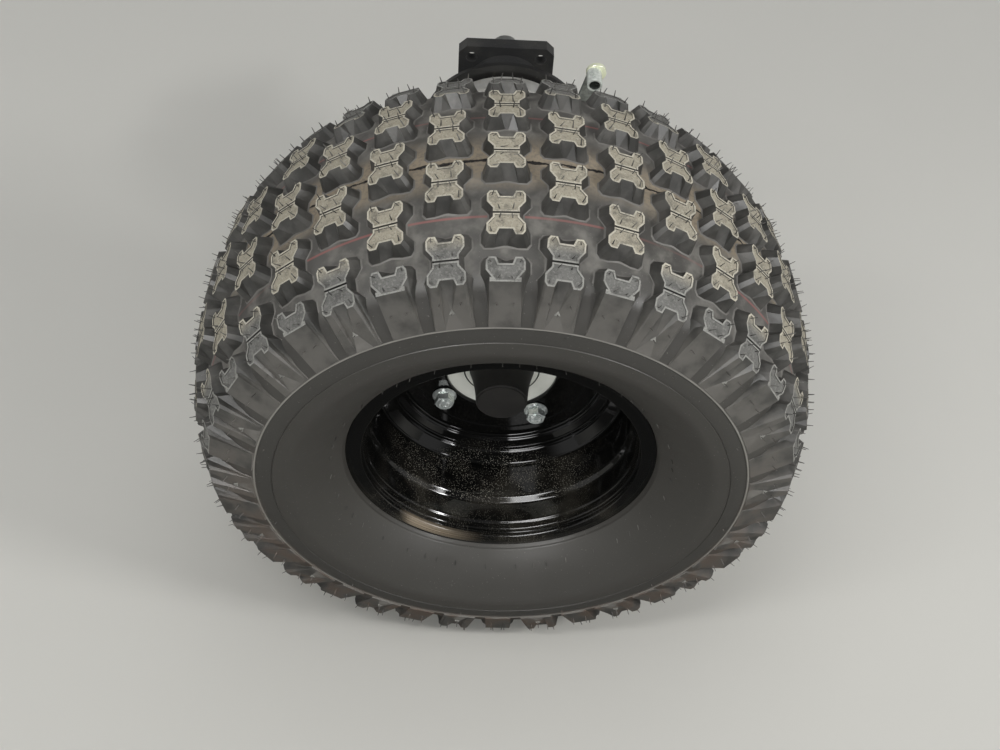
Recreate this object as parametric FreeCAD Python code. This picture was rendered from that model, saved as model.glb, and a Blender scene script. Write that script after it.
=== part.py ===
"""Rear wheel of a quad bike on its axle, with the drum brake and the bearing carrier that hold it.

Millimetres, +Z up. The axle lies on the Y axis and the wheel's outer face looks along -Y.
The origin is the centre of the carrier's mounting face, and the tyre stands outboard of it.
"""

import os

import FreeCAD
import Part
from math import cos, pi, radians, sin, sqrt

Vector = FreeCAD.Vector
AXLE_WAY = Vector(0, 1, 0)
FLAT = 1e-6

# Driving dimensions of the wheel and of its place on the axle
WHEEL_OFFSET = 352.0  # from the mounting face out to the tyre's centre plane
RIM_BEAD_RADIUS = 101.5
RIM_HALF_WIDTH = 78.0
RIM_LIP_HEIGHT = 10.9
RIM_SHEET = 2.5
AXLE_RADIUS = 12.5
BOLT_CIRCLE_RADIUS = 51.3
BOLT_COUNT = 4
BOLT_TURN = 33.7  # degrees from straight down to the first bolt, towards +X

# Clearances between pieces of one body, and between the axle and what it turns in
SEAT = 0.02
DISC_SEAT = 0.08
BEAD_GAP = 0.4
RUNNING = 0.05
OPEN_GAP = 7.0


def wheel_y(y):
    """A place along the axle, given from the tyre's centre plane."""
    return y - WHEEL_OFFSET


def flat_face(points):
    return Part.Face(Part.makePolygon([*points, points[0]]))


def turned(section):
    """A solid of revolution about the axle from a closed section of (y, radius) points."""
    return flat_face([Vector(0, y, r) for y, r in section]).revolve(Vector(), AXLE_WAY, 360)


def peg(x, z, y0, y1, radius):
    """A cylinder parallel to the axle."""
    return Part.makeCylinder(radius, y1 - y0, Vector(x, y0, z), AXLE_WAY)


def ring(y0, y1, outer, inner):
    """A tube round the axle."""
    return peg(0, 0, y0, y1, outer).cut(peg(0, 0, y0 - 1, y1 + 1, inner))


def plate(corners, y0, y1):
    """A flat piece across the axle from its (x, z) corners."""
    return flat_face([Vector(x, y0, z) for x, z in corners]).extrude(Vector(0, y1 - y0, 0))


def turn_back(x, z, degrees):
    """A place (x, z) turned about the axle from straight down towards +X."""
    angle = radians(degrees)
    return x * cos(angle) - z * sin(angle), x * sin(angle) + z * cos(angle)


def around(radius, count, first=0.0):
    """Places (x, z) on a circle about the axle, the angle counted from straight down."""
    for i in range(count):
        yield turn_back(0, -radius, first + 360 * i / count)


def square_flange(half, reach, first, y0, y1):
    """A square plate with its corners cut off square at a reach from the axle, a corner at the first angle."""
    cut = 2 * half - sqrt(2) * reach
    corners = [(half, half - cut), (half - cut, half)]
    quarter_turns = [turn_back(x, z, 90 * i) for i in range(4) for x, z in corners]
    return plate([turn_back(x, z, first - 45) for x, z in quarter_turns], y0, y1)


def drilled(body, places, y0, y1, radius):
    """The body with a hole parallel to the axle at each (x, z) place."""
    for x, z in places:
        body = body.cut(peg(x, z, y0 - 1, y1 + 1, radius))
    return body


# Tyre: a moulded carcass with a knobbly tread. Columns 10 degrees apart carry three or two crown
# lugs in turn, and every column ends in a shoulder lug with a buttress on the sidewall.
CROWN_RADIUS = 217.0
COLUMN_PAIRS = 18
FIRST_COLUMN = -1.99  # degrees from the top towards +X
CARCASS_HALF_WIDTH = 107.5
CARCASS_WALL = 7.0
SHOULDER_IN = 21.0  # from the carcass's side in to its shoulder
SHOULDER_DROP = 13.0  # from the crown down to the shoulder, and to the widest place of the sidewall
BULGE_DROP = 53.0
CHEEK_IN = 8.5  # from the carcass's side in to the sidewall's turn above the rim's lip
CHEEK_RISE = 17.5
BEAD_WIDTH = 14.0
LUG_ROOT = 15.0  # how far a lug reaches down from its top, into the carcass
LUG_DRAFT = 0.32
FOOT_IN = 1.5
CROWN_ROWS = (
    # column, axial place, height over the crown, tilt in degrees, half width, half length, notch
    (0, 0.0, 10.0, 0.0, 12.0, 16.5, 5.5),
    (0, 51.5, 4.4, 9.0, 12.0, 16.5, 5.5),
    (1, 25.5, 8.7, 4.0, 12.0, 16.5, 5.5),
)
SHOULDER_ROWS = (
    # column, place in from the side, height, tilt, half width, half length, notch, foot's width, foot's drop
    (1, 25.3, -5.0, 22.0, 12.5, 15.0, 0.0, 12.0, 41.0),
    (0, 18.5, -7.5, 26.0, 11.0, 8.0, 0.0, 10.0, 41.0),
)


def flat_faces(outline):
    """One face where the outline is flat, or else a fan of triangles."""
    normal = (outline[1] - outline[0]).cross(outline[-1] - outline[0]).normalize()
    if max(abs((point - outline[0]).dot(normal)) for point in outline) < FLAT:
        return [flat_face(outline)]
    return [flat_face([outline[0], outline[i], outline[i + 1]]) for i in range(1, len(outline) - 1)]


def closed_solid(faces):
    solid = Part.Solid(Part.Shell(faces))
    if solid.Volume < 0:
        solid.reverse()
    return solid


def between(low, high):
    """A solid between two closed outlines with the same number of points, all faces flat."""
    faces = flat_faces(low) + flat_faces(high)
    for i in range(len(low)):
        j = (i + 1) % len(low)
        faces += flat_faces([low[i], low[j], high[j], high[i]])
    return closed_solid(faces)


def on_tyre(degrees, y, r, sideways=0.0):
    """A point of the tyre at an angle from the top, or beside it round the tyre."""
    x, z = turn_back(-sideways, -r, 180 - degrees)
    return Vector(x, wheel_y(y), z)


def placed(points, degrees, side, place, radius, tilt):
    """Points (outboard, round the tyre, up) of a lug set on the tyre at a column's angle."""
    lean = radians(tilt)
    result = []
    for across, sideways, up in points:
        y = place + across * cos(lean) + up * sin(lean)
        r = radius - across * sin(lean) + up * cos(lean)
        result.append(on_tyre(degrees, side * y, r, sideways))
    return result


def lug_half(width, length, notch):
    """The inboard half of a lug's outline, (across the tread, round the tyre), notched at its end."""
    corners = [(-length, -width), (-length, width)]
    if notch:
        corners.insert(1, (notch - length, 0.0))
    return corners


def lug_spread(width):
    """How much wider a lug is at its root than at its top."""
    return 1 + LUG_ROOT * LUG_DRAFT / width


def crown_lug(degrees, side, place, height, tilt, width, length, notch):
    half = lug_half(width, length, notch)
    top = half + [(-a, -t) for a, t in half]
    spread = lug_spread(width)
    where = (degrees, side, place, CROWN_RADIUS + height, tilt)
    low = placed([(a * spread, t * spread, -LUG_ROOT) for a, t in top], *where)
    high = placed([(a, t, 0.0) for a, t in top], *where)
    return between(low, high)


def shoulder_lug(degrees, side, inward, height, tilt, width, length, notch, foot_width, foot_drop):
    """A shoulder lug whose outer wall runs down the sidewall as a buttress and ends in its foot."""
    half = lug_half(width, length, notch)
    spread = lug_spread(width)
    where = (degrees, side, CARCASS_HALF_WIDTH - inward, CROWN_RADIUS + height, tilt)
    high = placed([(a, t, 0.0) for a, t in half + [(length, width), (length, -width)]], *where)
    low = placed([(a * spread, t * spread, -LUG_ROOT) for a, t in half], *where)
    for t in (foot_width, -foot_width):
        low.append(on_tyre(degrees, side * (CARCASS_HALF_WIDTH - FOOT_IN), CROWN_RADIUS - foot_drop, t))
    return between(low, high)


def carcass():
    """The tyre without its lugs, open to the rim between its beads, one flat facet to a column."""
    half = CARCASS_HALF_WIDTH
    step = 180.0 / COLUMN_PAIRS
    corner = 1 / cos(radians(step / 2))
    bead = RIM_BEAD_RADIUS + SEAT
    bead_side = RIM_HALF_WIDTH - LIP_ROLL - BEAD_GAP
    shoulder = (half - SHOULDER_IN, CROWN_RADIUS - SHOULDER_DROP)
    bulge = (half, CROWN_RADIUS - BULGE_DROP)
    over_lip = RIM_BEAD_RADIUS + RIM_LIP_HEIGHT + BEAD_GAP
    outer = [
        (bead_side, bead),
        (bead_side, over_lip),
        (half - CHEEK_IN, over_lip + CHEEK_RISE),
        bulge,
        shoulder,
    ]
    inner = [
        (shoulder[0] - CARCASS_WALL, shoulder[1] - CARCASS_WALL),
        (half - CARCASS_WALL, bulge[1]),
        (bead_side - BEAD_WIDTH, bead),
    ]
    section = outer + [(0.0, CROWN_RADIUS)] + [(-y, r) for y, r in reversed(outer)]
    section += [(-y, r) for y, r in reversed(inner)] + inner
    faces = []
    for column in range(2 * COLUMN_PAIRS):
        first, last = (FIRST_COLUMN + step * (column + side) for side in (-0.5, 0.5))
        for start, end in zip(section, section[1:] + section[:1]):
            (y0, r0), (y1, r1) = ((y, r * corner) for y, r in (start, end))
            faces += flat_faces([on_tyre(first, y0, r0), on_tyre(last, y0, r0), on_tyre(last, y1, r1), on_tyre(first, y1, r1)])
    return closed_solid(faces)


def tyre():
    step = 180.0 / COLUMN_PAIRS
    lugs = []
    for pair in range(COLUMN_PAIRS):
        for make, rows in ((crown_lug, CROWN_ROWS), (shoulder_lug, SHOULDER_ROWS)):
            for column, place, *row in rows:
                degrees = FIRST_COLUMN + step * (2 * pair + column)
                lugs += [make(degrees, side, place, *row) for side in ((1, -1) if place else (1,))]
    return carcass().fuse(lugs)


# Rim: a rolled steel barrel with a lip at each side, and a pressed disc welded inside it
LIP_ROLL = 5.0
LIP_EDGE = 9.5
BARREL_INNER = 95.0
BARREL_STEP = 52.0  # from the centre plane out to where the barrel steps up to the bead seat
STEP_RUN = 6.0
DISC_FACE = 3.0  # the disc's outer face, inboard of the centre plane
DISC_SHEET = 3.2
DISC_HOLE = 41.7
DISC_FLAT = 77.0
SKIRT_END = -14.0


def rim_barrel():
    """The barrel: barrel, step, bead seat and lip, the same to both sides. The drop centre's outer
    side, closed in by the tyre, is left plain."""
    seat, lip = RIM_BEAD_RADIUS - RIM_SHEET, RIM_BEAD_RADIUS + RIM_LIP_HEIGHT
    flange = RIM_HALF_WIDTH - LIP_ROLL
    half = [
        (BARREL_STEP - STEP_RUN, BARREL_INNER),
        (BARREL_STEP, seat),
        (flange - RIM_SHEET, seat),
        (RIM_HALF_WIDTH, lip - LIP_EDGE),
        (RIM_HALF_WIDTH, lip),
        (flange, RIM_BEAD_RADIUS),
    ]
    section = half + [(-y, r) for y, r in reversed(half)]
    return turned([(wheel_y(y), r) for y, r in section])


def stud_places():
    return around(BOLT_CIRCLE_RADIUS, BOLT_COUNT, BOLT_TURN)


def wheel_disc():
    """The dished disc: a skirt inside the barrel, a cone and a flat with the centre hole."""
    back = DISC_FACE + DISC_SHEET
    skirt = BARREL_INNER - DISC_SEAT
    section = [
        (SKIRT_END, skirt),
        (DISC_FACE, DISC_FLAT),
        (DISC_FACE, DISC_HOLE),
        (back, DISC_HOLE),
        (back, DISC_FLAT + DISC_SHEET / 2),
        (SKIRT_END + 1.5 * DISC_SHEET, skirt),
    ]
    disc = turned([(wheel_y(y), r) for y, r in section])
    return drilled(disc, stud_places(), wheel_y(DISC_FACE), wheel_y(back), STUD_RADIUS + STUD_GAP)


# Hub, axle and the fasteners of the wheel
STUD_RADIUS = 5.0
STUD_GAP = 0.4
STUD_SHOWS = 1.5  # how far a stud stands out of its nut
NUT_FLANGE = 10.5
NUT_ACROSS_FLATS = 14.0
NUT_LENGTH = 9.0
NUT_FLANGE_THICK = 2.0
HUB_FACE = DISC_FACE + DISC_SHEET
HUB_FLANGE_HALF = 49.5
HUB_FLANGE_REACH = 61.5
HUB_FLANGE_THICK = 8.0
HUB_BARREL = 27.0
HUB_END = 58.0
CAP_RADIUS = 20.0
CAP_END = -25.7
CAP_CHAMFER = 1.2
AXLE_INBOARD = 45.0  # how far the axle passes through the mounting face
AXLE_STUB_RADIUS = 12.0
STUB_START = 2.0


def hub():
    """The hub, splined on the axle: a square flange behind the disc and a barrel inboard of it."""
    y0, y1, end = (wheel_y(y) for y in (HUB_FACE, HUB_FACE + HUB_FLANGE_THICK, HUB_END))
    flange = square_flange(HUB_FLANGE_HALF, HUB_FLANGE_REACH, BOLT_TURN, y0, y1)
    body = flange.fuse(peg(0, 0, y1, end, HUB_BARREL)).cut(peg(0, 0, y0 - 1, end + 1, AXLE_RADIUS + SEAT))
    return drilled(body, stud_places(), y0, y1, STUD_RADIUS + SEAT)


def studs():
    y0, y1 = wheel_y(DISC_FACE - NUT_LENGTH - STUD_SHOWS), wheel_y(HUB_FACE + HUB_FLANGE_THICK)
    return Part.makeCompound([peg(x, z, y0, y1, STUD_RADIUS) for x, z in stud_places()])


def hexagon(x, z, y0, y1, across):
    corner = across / sqrt(3)
    points = [(x + corner * cos(pi / 3 * i), z + corner * sin(pi / 3 * i)) for i in range(6)]
    return plate(points, y0, y1)


def flange_nuts():
    y0, y1 = wheel_y(DISC_FACE - NUT_LENGTH), wheel_y(DISC_FACE)
    nuts = []
    for x, z in stud_places():
        flange = peg(x, z, y1 - NUT_FLANGE_THICK, y1, NUT_FLANGE)
        nut = flange.fuse(hexagon(x, z, y0, y1 - NUT_FLANGE_THICK, NUT_ACROSS_FLATS))
        nuts.append(nut.cut(peg(x, z, y0 - 1, y1 + 1, STUD_RADIUS + SEAT)))
    return Part.makeCompound(nuts)


def axle_cap():
    """The moulded cap over the axle's end, pushed on the hub's face. Its inside is closed."""
    face, base = wheel_y(CAP_END), wheel_y(HUB_FACE)
    return turned([(face, 0), (face, CAP_RADIUS - CAP_CHAMFER), (face + CAP_CHAMFER, CAP_RADIUS), (base, CAP_RADIUS), (base, 0)])


def axle_shaft():
    """The axle from under the cap to the stub that carries on inboard of the carrier."""
    shaft = peg(0, 0, wheel_y(HUB_FACE), STUB_START, AXLE_RADIUS)
    return shaft.fuse(peg(0, 0, STUB_START, AXLE_INBOARD, AXLE_STUB_RADIUS))


# Brake drum, splined on the axle and open towards the back plate
DRUM_RADIUS = 62.0
DRUM_FACE = 236.0
DRUM_EDGE = 276.7
DRUM_WALL = 5.0


def brake_drum():
    face, edge = wheel_y(DRUM_FACE), wheel_y(DRUM_EDGE)
    body = peg(0, 0, face, edge, DRUM_RADIUS)
    body = body.cut(peg(0, 0, face + DRUM_WALL, edge + 1, DRUM_RADIUS - DRUM_WALL))
    return body.cut(peg(0, 0, face - 1, edge, AXLE_RADIUS + SEAT))


# Root body: back plate, carrier and bearings
PANEL_FACE = DRUM_EDGE + 3.0
PANEL_RIM = 9.0  # how far the back plate stands out past the drum
PANEL_SHEET = 4.0
PANEL_RADIUS = DRUM_RADIUS + PANEL_RIM
TORQUE_LUG_REACH = 30.0
TORQUE_LUG_HALF = 17.0
TORQUE_HOLE_RADIUS = 5.25
TORQUE_HOLE_IN = 12.0
BEARING_RADIUS = 23.5
CARRIER_RADIUS = 34.0
CARRIER_BOLT_CIRCLE = 86.0
CARRIER_BOLT_HOLE = 5.25
CARRIER_EDGE = 6.4
CARRIER_FLANGE_THICK = 12.0


def brake_panel():
    """The back plate, screwed to the carrier's end, with a torque lug forward and the cam's boss."""
    y0 = wheel_y(PANEL_FACE)
    y1 = y0 + PANEL_SHEET
    reach = PANEL_RADIUS + TORQUE_LUG_REACH
    half = TORQUE_LUG_HALF
    disc = peg(0, 0, y0, y1, PANEL_RADIUS)
    lug = plate([(-reach, -half), (0, -half), (0, half), (-reach, half)], y0, y1)
    body = disc.fuse(lug).fuse(peg(CAM_X, CAM_Z, y1, y1 + CAM_BOSS, CAM_BOSS_RADIUS)).removeSplitter()
    body = body.cut(peg(0, 0, y0 - 1, y1 + 1, AXLE_RADIUS + OPEN_GAP))
    body = drilled(body, [(TORQUE_HOLE_IN - reach, 0)], y0, y1, TORQUE_HOLE_RADIUS)
    return drilled(body, [(CAM_X, CAM_Z)], y0, y1 + CAM_BOSS, CAM_RADIUS + SEAT)


def axle_carrier():
    """The cast bearing carrier, its four-bolt flange on the mounting face."""
    y0 = wheel_y(PANEL_FACE) + PANEL_SHEET
    y1 = -CARRIER_FLANGE_THICK
    half = CARRIER_BOLT_CIRCLE / sqrt(8) + CARRIER_BOLT_HOLE + CARRIER_EDGE
    reach = CARRIER_BOLT_CIRCLE / 2 + CARRIER_BOLT_HOLE + CARRIER_EDGE
    body = square_flange(half, reach, 45, y1, 0).fuse(peg(0, 0, y0, y1, CARRIER_RADIUS))
    body = body.cut(peg(0, 0, y0 - 1, 1, BEARING_RADIUS + SEAT))
    return drilled(body, around(CARRIER_BOLT_CIRCLE / 2, BOLT_COUNT, 45), y1, 0, CARRIER_BOLT_HOLE)


def axle_bearings():
    """The two sealed bearings and the spacer between them, which fill the carrier's bore."""
    return ring(wheel_y(PANEL_FACE) + PANEL_SHEET, 0, BEARING_RADIUS, AXLE_RADIUS + RUNNING)


# The brake's cam and its lever, with the pin that takes the cable's end
CAM_RADIUS = 6.0
CAM_IN = 3.1  # from the drum's outside in to the cam
CAM_BOSS = 4.0
CAM_BOSS_RADIUS = 10.0
CAM_X, CAM_Z = turn_back(DRUM_RADIUS - CAM_IN, 0, -14.7)
LEVER_LENGTH = 63.5
LEVER_RISE = 74.0  # degrees from +X
LEVER_SHEET = 4.0
LEVER_BOSS_RADIUS = 11.0
LEVER_TIP_RADIUS = 9.0
LEVER_WIDTH = 13.0
EYE_RADIUS = 3.0
EYE_BACK = 21.5
PIN_SHANK_RADIUS = 4.0
PIN_RADIUS = 6.5
PIN_LENGTH = 12.0
CABLE_HOLE_RADIUS = 1.8
CABLE_RISE = 30.0  # degrees up from forward to the way the cable leaves


def lever_face():
    """Where the lever's outboard side lies along the axle."""
    return wheel_y(PANEL_FACE) + PANEL_SHEET + CAM_BOSS


def along_lever(length, across=0.0):
    """A place (x, z) on the lever, from the cam towards the pin."""
    x, z = turn_back(length, across, LEVER_RISE)
    return CAM_X + x, CAM_Z + z


def brake_cam():
    return peg(CAM_X, CAM_Z, wheel_y(PANEL_FACE), lever_face() + LEVER_SHEET, CAM_RADIUS)


def brake_lever():
    """A pressed arm clamped on the cam, with the cable's pin at its end and a spring's eye before it."""
    y0, y1 = lever_face(), lever_face() + LEVER_SHEET
    half = LEVER_WIDTH / 2
    corners = [along_lever(a, b) for a, b in ((0, -half), (LEVER_LENGTH, -half), (LEVER_LENGTH, half), (0, half))]
    cam, pin, eye = along_lever(0), along_lever(LEVER_LENGTH), along_lever(LEVER_LENGTH - EYE_BACK)
    arm = plate(corners, y0, y1).fuse([peg(*cam, y0, y1, LEVER_BOSS_RADIUS), peg(*pin, y0, y1, LEVER_TIP_RADIUS)])
    for place, radius in ((cam, CAM_RADIUS + SEAT), (pin, PIN_SHANK_RADIUS + SEAT), (eye, EYE_RADIUS)):
        arm = drilled(arm.removeSplitter(), [place], y0, y1, radius)
    return arm


def lever_pin():
    """The cable's pin, outboard of the lever, with a cross hole that the cable leaves forward and up."""
    y1 = lever_face()
    x, z = along_lever(LEVER_LENGTH)
    pin = peg(x, z, y1, y1 + LEVER_SHEET, PIN_SHANK_RADIUS).fuse(peg(x, z, y1 - PIN_LENGTH, y1, PIN_RADIUS))
    way = Vector(-cos(radians(CABLE_RISE)), 0, sin(radians(CABLE_RISE)))
    start = Vector(x, y1 - PIN_LENGTH / 2, z) - way * (PIN_RADIUS + 1)
    return pin.cut(Part.makeCylinder(CABLE_HOLE_RADIUS, 2 * PIN_RADIUS + 2, start, way))


NODES = {
    "tyre": tyre,
    "rim_barrel": rim_barrel,
    "wheel_disc": wheel_disc,
    "wheel_hub": hub,
    "hub_studs": studs,
    "flange_nuts": flange_nuts,
    "axle_cap": axle_cap,
    "axle_shaft": axle_shaft,
    "brake_drum": brake_drum,
    "brake_panel": brake_panel,
    "axle_carrier": axle_carrier,
    "axle_bearings": axle_bearings,
    "brake_cam": brake_cam,
    "brake_lever": brake_lever,
    "lever_pin": lever_pin,
}


os.makedirs("parts", exist_ok=True)
for node, make in NODES.items():
    make().exportStep("parts/" + node + ".step")
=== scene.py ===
"""A quad bike's rear wheel for rendering: knobbly tyre, black steel wheel, hub, axle, drum brake.

Metres, in the part's own frame: the axle lies on Y and the wheel's outer face looks along -Y.
"""

from math import atan2, copysign, cos, hypot, pi, radians, sin

import bpy
from mathutils import Matrix, Vector


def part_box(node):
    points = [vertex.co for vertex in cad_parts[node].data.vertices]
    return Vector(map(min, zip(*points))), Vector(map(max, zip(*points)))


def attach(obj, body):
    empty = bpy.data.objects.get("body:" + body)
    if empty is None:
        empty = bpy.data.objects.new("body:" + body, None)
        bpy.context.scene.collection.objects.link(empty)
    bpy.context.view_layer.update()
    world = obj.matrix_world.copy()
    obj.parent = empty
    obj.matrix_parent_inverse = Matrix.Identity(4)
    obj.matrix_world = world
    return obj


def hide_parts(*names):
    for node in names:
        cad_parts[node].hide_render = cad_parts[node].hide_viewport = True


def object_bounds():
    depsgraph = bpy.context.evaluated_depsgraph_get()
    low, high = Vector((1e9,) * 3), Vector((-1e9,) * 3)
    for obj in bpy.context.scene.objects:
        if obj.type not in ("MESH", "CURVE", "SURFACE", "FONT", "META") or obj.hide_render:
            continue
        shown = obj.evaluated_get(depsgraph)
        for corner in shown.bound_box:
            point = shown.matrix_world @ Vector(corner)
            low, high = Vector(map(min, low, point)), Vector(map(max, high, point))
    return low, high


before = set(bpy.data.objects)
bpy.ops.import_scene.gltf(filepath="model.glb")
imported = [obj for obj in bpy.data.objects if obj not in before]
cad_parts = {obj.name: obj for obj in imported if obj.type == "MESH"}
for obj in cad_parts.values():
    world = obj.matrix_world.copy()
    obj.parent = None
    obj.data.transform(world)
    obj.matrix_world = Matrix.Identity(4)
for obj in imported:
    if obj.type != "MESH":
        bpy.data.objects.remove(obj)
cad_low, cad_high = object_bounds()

# Tyre carcass: black moulded rubber, a closed ring with its beads on the rim. It is drawn as one
# section and spun round the axle. A thin ring and a step run round its sidewall.
tyre_low, tyre_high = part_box("tyre")
WHEEL_Y = (tyre_low[1] + tyre_high[1]) / 2
WHEEL_MIDDLE = Vector((0, WHEEL_Y, 0))
CROWN_RADIUS = 0.217
CARCASS_HALF = 0.1075
CARCASS_WALL = 0.007
BEAD_RADIUS = 0.1017
BEAD_OUTER = 0.0726
RING_RADIUS = 0.174
RING_HALF = 0.1053
INNER_RING_RADIUS = 0.1616
SPIN_STEPS = 180
KEEP_FLAT = 0.0003  # how near the ends of a long straight part its two more points lie


def bow(start, end, rise, steps):
    """Points of an arc from start to end in a (y, radius) section, bulging by rise to the right."""
    (y0, r0), (y1, r1) = start, end
    chord = hypot(y1 - y0, r1 - r0)
    radius = (chord * chord / 4 + rise * rise) / (2 * rise)
    right = ((r1 - r0) / chord, (y0 - y1) / chord)
    y, r = (y0 + y1) / 2 - right[0] * (radius - rise), (r0 + r1) / 2 - right[1] * (radius - rise)
    first = atan2(r0 - r, y0 - y)
    sweep = (atan2(r1 - r, y1 - y) - first + pi) % (2 * pi) - pi
    size = hypot(y0 - y, r0 - r)
    angles = [first + sweep * i / steps for i in range(1, steps + 1)]
    return [(y + size * cos(a), r + size * sin(a)) for a in angles]


def straight(start, end):
    """The end of a straight part. A long one gets two more points, so that it is shaded flat."""
    (y0, r0), (y1, r1) = start, end
    near = KEEP_FLAT / hypot(y1 - y0, r1 - r0)
    shares = (near, 1 - near, 1) if near < 0.25 else (1,)
    return [(y0 + (y1 - y0) * share, r0 + (r1 - r0) * share) for share in shares]


def section(start, *parts):
    """A section from its corners: each part is an end, or (end, rise, steps) for an arc to it."""
    points = [start]
    for part in parts:
        is_arc = isinstance(part[0], tuple)
        points += bow(points[-1], *part) if is_arc else straight(points[-1], part)
    return points


def draw(name, points):
    """Draws an open outline from place to place by extruding one corner, and stays in edit mode."""
    bpy.ops.object.select_all(action="DESELECT")
    bpy.ops.mesh.primitive_plane_add(size=0.001, location=points[0])
    piece = bpy.context.object
    piece.name = piece.data.name = name
    bpy.ops.object.transform_apply(location=True, rotation=True, scale=True)
    bpy.ops.object.mode_set(mode="EDIT")
    bpy.ops.mesh.select_mode(type="VERT")
    bpy.ops.mesh.select_all(action="SELECT")
    bpy.ops.mesh.merge(type="CENTER")
    for start, end in zip(points, points[1:]):
        step = Vector(end) - Vector(start)
        bpy.ops.mesh.extrude_vertices_move(TRANSFORM_OT_translate={"value": step})
    return piece


def turn(name, outline, steps=SPIN_STEPS, closed=True):
    """Spins a (y, radius) outline, given from the wheel's centre plane, round the axle."""
    piece = draw(name, [(0.0, WHEEL_Y + y, r) for y, r in outline])
    if closed:
        bpy.ops.object.mode_set(mode="OBJECT")
        for vertex in piece.data.vertices:
            vertex.select = vertex.index in (0, len(outline) - 1)
        bpy.ops.object.mode_set(mode="EDIT")
        bpy.ops.mesh.edge_face_add()
    bpy.ops.mesh.select_all(action="SELECT")
    bpy.ops.mesh.spin(steps=steps, angle=2 * pi, center=(0, 0, 0), axis=(0, 1, 0))
    bpy.ops.mesh.select_all(action="SELECT")
    bpy.ops.mesh.remove_doubles(threshold=0.00001)
    bpy.ops.mesh.normals_make_consistent(inside=False)
    bpy.ops.object.mode_set(mode="OBJECT")
    return piece


def select(*pieces):
    """Selects pieces and makes the first the active one."""
    bpy.ops.object.select_all(action="DESELECT")
    for piece in pieces:
        piece.select_set(True)
    bpy.context.view_layer.objects.active = pieces[0]


def smooth(piece, degrees):
    """Shades a piece smooth where its faces meet at less than an angle."""
    select(piece)
    bpy.ops.object.shade_smooth_by_angle(angle=radians(degrees))


outer_half = section(
    (BEAD_OUTER - 0.014, BEAD_RADIUS),
    (BEAD_OUTER, BEAD_RADIUS),
    (BEAD_OUTER, 0.1105),
    (BEAD_OUTER + 0.0069, 0.1134),
    ((0.0815, 0.1142), 0.0003, 3),
    ((CARCASS_HALF, 0.1500), 0.0030, 12),
    ((CARCASS_HALF - 0.0005, INNER_RING_RADIUS - 0.0006), 0.0001, 3),
    (CARCASS_HALF - 0.0011, INNER_RING_RADIUS - 0.0002),
    (CARCASS_HALF - 0.0011, INNER_RING_RADIUS + 0.0002),
    (CARCASS_HALF - 0.0006, INNER_RING_RADIUS + 0.0006),
    ((RING_HALF - 0.0003, RING_RADIUS - 0.0014), 0.0003, 3),
    (RING_HALF + 0.0004, RING_RADIUS - 0.0002),
    (RING_HALF, RING_RADIUS + 0.0010),
    ((0.0965, 0.1915), 0.0010, 5),
    ((0.0820, 0.2040), 0.0020, 5),
    ((0.0300, 0.2158), 0.0016, 5),
    ((0.0, CROWN_RADIUS), 0.0002, 3),
)
inner_half = section(
    (0.0, CROWN_RADIUS - CARCASS_WALL),
    ((0.0780, 0.1960), -0.0015, 4),
    ((0.1000, 0.1560), -0.0060, 5),
    ((BEAD_OUTER - 0.014, BEAD_RADIUS + 0.012), -0.0060, 5),
)
whole = outer_half[:-1] + [(-y, r) for y, r in reversed(outer_half)]
inside = [(-y, r) for y, r in reversed(inner_half)] + inner_half[1:]
carcass = turn("tyre_carcass", whole + inside)
smooth(carcass, 28)


class Wire:
    """One output of a material's nodes. Arithmetic on it adds Math nodes to the same tree."""

    def __init__(self, tree, socket):
        self.tree = tree
        self.socket = socket

    def node(self, kind, settings, values, output=0):
        """Adds a node. Its settings are set first, then its sockets, by name or number."""
        made = self.tree.nodes.new("ShaderNode" + kind)
        for name, value in settings.items():
            setattr(made, name, value)
        for name, value in values.items():
            if isinstance(value, Wire):
                self.tree.links.new(value.socket, made.inputs[name])
            else:
                made.inputs[name].default_value = value
        return Wire(self.tree, made.outputs[output])

    def math(self, operation, *others):
        """A Math node whose first value is this one."""
        return self.node("Math", {"operation": operation}, dict(enumerate((self, *others))))

    def __add__(self, other):
        return self.math("ADD", other)

    __radd__ = __add__

    def __sub__(self, other):
        return self.math("SUBTRACT", other)

    def __rsub__(self, other):
        return self.node("Math", {"operation": "SUBTRACT"}, {0: other, 1: self})

    def __mul__(self, other):
        return self.math("MULTIPLY", other)

    __rmul__ = __mul__

    def __abs__(self):
        return self.math("ABSOLUTE")

    def fade(self, start, end):
        """0 at start, 1 at end and smooth between."""
        values = {"Value": self, "From Min": start, "From Max": end}
        return self.node("MapRange", {"interpolation_type": "SMOOTHSTEP"}, values)

    def band(self, rise, fall):
        """1 between two soft edges, each given by its start and end."""
        return self.fade(*rise) * (1 - self.fade(*fall))

    def near(self, inner, outer):
        """1 up to inner away from 0, either way, and 0 beyond outer."""
        return 1 - abs(self).fade(inner, outer)

    def noise(self, scale, detail=3.0):
        values = {"Vector": self, "Scale": scale, "Detail": detail, "Roughness": 0.55}
        return self.node("TexNoise", {}, values)

    def mix(self, low, high):
        """A colour between two, by this factor."""
        return self.node("Mix", {"data_type": "RGBA"}, {0: self, 6: low, 7: high}, output=2)

    def parts(self):
        """The three numbers of a vector."""
        return [self.node("SeparateXYZ", {}, {"Vector": self}, output=i) for i in range(3)]


def shade(red, green, blue):
    """A colour written in the screen's numbers from 0 to 255, made linear."""
    parts = [c / 255 for c in (red, green, blue)]
    return (*(c / 12.92 if c <= 0.04045 else ((c + 0.055) / 1.055) ** 2.4 for c in parts), 1.0)


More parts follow.
